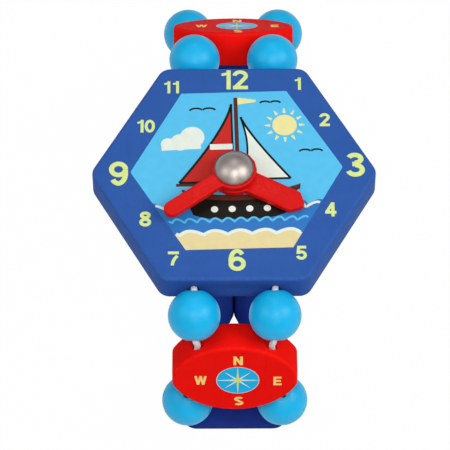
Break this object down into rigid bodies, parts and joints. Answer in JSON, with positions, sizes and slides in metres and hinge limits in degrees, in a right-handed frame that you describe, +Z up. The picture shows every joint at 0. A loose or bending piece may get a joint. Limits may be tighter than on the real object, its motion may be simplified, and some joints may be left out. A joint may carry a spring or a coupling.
{
  "type": "toy watch",
  "caption": "Wooden toy bracelet watch: hexagonal numbered dial with hands that turn on a nail, on a strap of barrel links, blocks, tubes and round beads strung on two elastic cords.",
  "frame": {"origin": "bottom centre of the standing watch: Z = 0 is the surface under the two tubes, X = 0 the middle of the strap, Y = 0 the middle of the length", "axes": "+Z up, out of the dial's face; +Y to twelve o'clock, along the longest extent; +X to three o'clock, across the strap"},
  "size_m": [0.0438, 0.0758, 0.0553],
  "materials": {
    "dial_blue": "satin blue paint on wood with a printed face",
    "hand_red": "gloss red paint on thin plywood",
    "nail_steel": "nickel-plated domed steel nail",
    "link_red": "satin red paint on wood with a printed compass",
    "block_blue": "satin dark blue paint on wood",
    "bead_blue": "satin light blue paint on turned wood",
    "cord_white": "white covered elastic cord"
  },
  "bodies": {
    "strap_base": {"block_front": "block_blue", "block_rear": "block_blue", "tube_left": "block_blue", "tube_right": "block_blue", "cord_left": "cord_white", "cord_right": "cord_white"},
    "front_link": {"link_front": "link_red"},
    "rear_link": {"link_rear": "link_red"},
    "dial": {"dial_block": "dial_blue", "pivot_nail": "nail_steel"},
    "hour_hand_body": {"hour_hand": "hand_red"},
    "minute_hand_body": {"minute_hand": "hand_red"},
    "bead_near_front_left_body": {"bead_near_front_left": "bead_blue"},
    "bead_near_front_right_body": {"bead_near_front_right": "bead_blue"},
    "bead_far_front_left_body": {"bead_far_front_left": "bead_blue"},
    "bead_far_front_right_body": {"bead_far_front_right": "bead_blue"},
    "bead_low_front_left_body": {"bead_low_front_left": "bead_blue"},
    "bead_low_front_right_body": {"bead_low_front_right": "bead_blue"},
    "bead_base_front_left_body": {"bead_base_front_left": "bead_blue"},
    "bead_base_front_right_body": {"bead_base_front_right": "bead_blue"},
    "bead_near_rear_left_body": {"bead_near_rear_left": "bead_blue"},
    "bead_near_rear_right_body": {"bead_near_rear_right": "bead_blue"},
    "bead_far_rear_left_body": {"bead_far_rear_left": "bead_blue"},
    "bead_far_rear_right_body": {"bead_far_rear_right": "bead_blue"},
    "bead_low_rear_left_body": {"bead_low_rear_left": "bead_blue"},
    "bead_low_rear_right_body": {"bead_low_rear_right": "bead_blue"},
    "bead_base_rear_left_body": {"bead_base_rear_left": "bead_blue"},
    "bead_base_rear_right_body": {"bead_base_rear_right": "bead_blue"}
  },
  "joints": [
    {"name": "front_link_swing", "type": "hinge", "parent": "strap_base", "child": "front_link", "pos_m": [0, -0.03391, 0.02697], "axis": [1, 0, 0], "range_deg": [-8, 8], "stiffness_Nm_per_rad": 0.2, "deforming": ["cord_left", "cord_right"]},
    {"name": "rear_link_swing", "type": "hinge", "parent": "strap_base", "child": "rear_link", "pos_m": [0, 0.03114, 0.0325], "axis": [1, 0, 0], "range_deg": [-11.4, 11.4], "deforming": ["cord_left", "cord_right"]},
    {"name": "dial_rock", "type": "hinge", "parent": "front_link", "child": "dial", "pos_m": [0, -0.03013, 0.04699], "axis": [1, 0, 0], "range_deg": [-12.3, 12.3], "deforming": ["cord_left", "cord_right"]},
    {"name": "hour_hand_turn", "type": "hinge", "parent": "dial", "child": "hour_hand_body", "pos_m": [0, -0.00788, 0.0507], "axis": [0, 0, 1], "continuous": true},
    {"name": "minute_hand_turn", "type": "hinge", "parent": "dial", "child": "minute_hand_body", "pos_m": [0, -0.00788, 0.0507], "axis": [0, 0, 1], "continuous": true},
    {"name": "bead_near_front_left_spin", "type": "hinge", "parent": "front_link", "child": "bead_near_front_left_body", "pos_m": [-0.00616, -0.03013, 0.04699], "axis": [0, -0.8591, -0.5117], "continuous": true},
    {"name": "bead_near_front_right_spin", "type": "hinge", "parent": "front_link", "child": "bead_near_front_right_body", "pos_m": [0.00616, -0.03013, 0.04699], "axis": [0, -0.8591, -0.5117], "continuous": true},
    {"name": "bead_far_front_left_spin", "type": "hinge", "parent": "strap_base", "child": "bead_far_front_left_body", "pos_m": [-0.00732, -0.03391, 0.02697], "axis": [0, 0.2377, -0.9713], "continuous": true},
    {"name": "bead_far_front_right_spin", "type": "hinge", "parent": "strap_base", "child": "bead_far_front_right_body", "pos_m": [0.00732, -0.03391, 0.02697], "axis": [0, 0.2377, -0.9713], "continuous": true},
    {"name": "bead_low_front_left_spin", "type": "hinge", "parent": "strap_base", "child": "bead_low_front_left_body", "pos_m": [-0.00469, -0.0215, 0.00853], "axis": [0, 0.7646, -0.6445], "continuous": true},
    {"name": "bead_low_front_right_spin", "type": "hinge", "parent": "strap_base", "child": "bead_low_front_right_body", "pos_m": [0.00469, -0.0215, 0.00853], "axis": [0, 0.7646, -0.6445], "continuous": true},
    {"name": "bead_base_front_left_spin", "type": "hinge", "parent": "strap_base", "child": "bead_base_front_left_body", "pos_m": [-0.00426, -0.01427, 0.00489], "axis": [0, 0.9729, -0.2313], "continuous": true},
    {"name": "bead_base_front_right_spin", "type": "hinge", "parent": "strap_base", "child": "bead_base_front_right_body", "pos_m": [0.00426, -0.01427, 0.00489], "axis": [0, 0.9729, -0.2313], "continuous": true},
    {"name": "bead_near_rear_left_spin", "type": "hinge", "parent": "rear_link", "child": "bead_near_rear_left_body", "pos_m": [-0.00616, 0.01657, 0.04675], "axis": [0, 0.9528, -0.3035], "continuous": true},
    {"name": "bead_near_rear_right_spin", "type": "hinge", "parent": "rear_link", "child": "bead_near_rear_right_body", "pos_m": [0.00616, 0.01657, 0.04675], "axis": [0, 0.9528, -0.3035], "continuous": true},
    {"name": "bead_far_rear_left_spin", "type": "hinge", "parent": "strap_base", "child": "bead_far_rear_left_body", "pos_m": [-0.00732, 0.03114, 0.0325], "axis": [0, 0.4027, -0.9153], "continuous": true},
    {"name": "bead_far_rear_right_spin", "type": "hinge", "parent": "strap_base", "child": "bead_far_rear_right_body", "pos_m": [0.00732, 0.03114, 0.0325], "axis": [0, 0.4027, -0.9153], "continuous": true},
    {"name": "bead_low_rear_left_spin", "type": "hinge", "parent": "strap_base", "child": "bead_low_rear_left_body", "pos_m": [-0.00469, 0.03324, 0.01145], "axis": [0, -0.3338, -0.9426], "continuous": true},
    {"name": "bead_low_rear_right_spin", "type": "hinge", "parent": "strap_base", "child": "bead_low_rear_right_body", "pos_m": [0.00469, 0.03324, 0.01145], "axis": [0, -0.3338, -0.9426], "continuous": true},
    {"name": "bead_base_rear_left_spin", "type": "hinge", "parent": "strap_base", "child": "bead_base_rear_left_body", "pos_m": [-0.00426, 0.02772, 0.00553], "axis": [0, -0.9171, -0.3987], "continuous": true},
    {"name": "bead_base_rear_right_spin", "type": "hinge", "parent": "strap_base", "child": "bead_base_rear_right_body", "pos_m": [0.00426, 0.02772, 0.00553], "axis": [0, -0.9171, -0.3987], "continuous": true}
  ],
  "couplings": [
    {"joint": "rear_link_swing", "follows": "front_link_swing", "ratio": 1.4138},
    {"joint": "dial_rock", "follows": "front_link_swing", "ratio": -1.522}
  ]
}
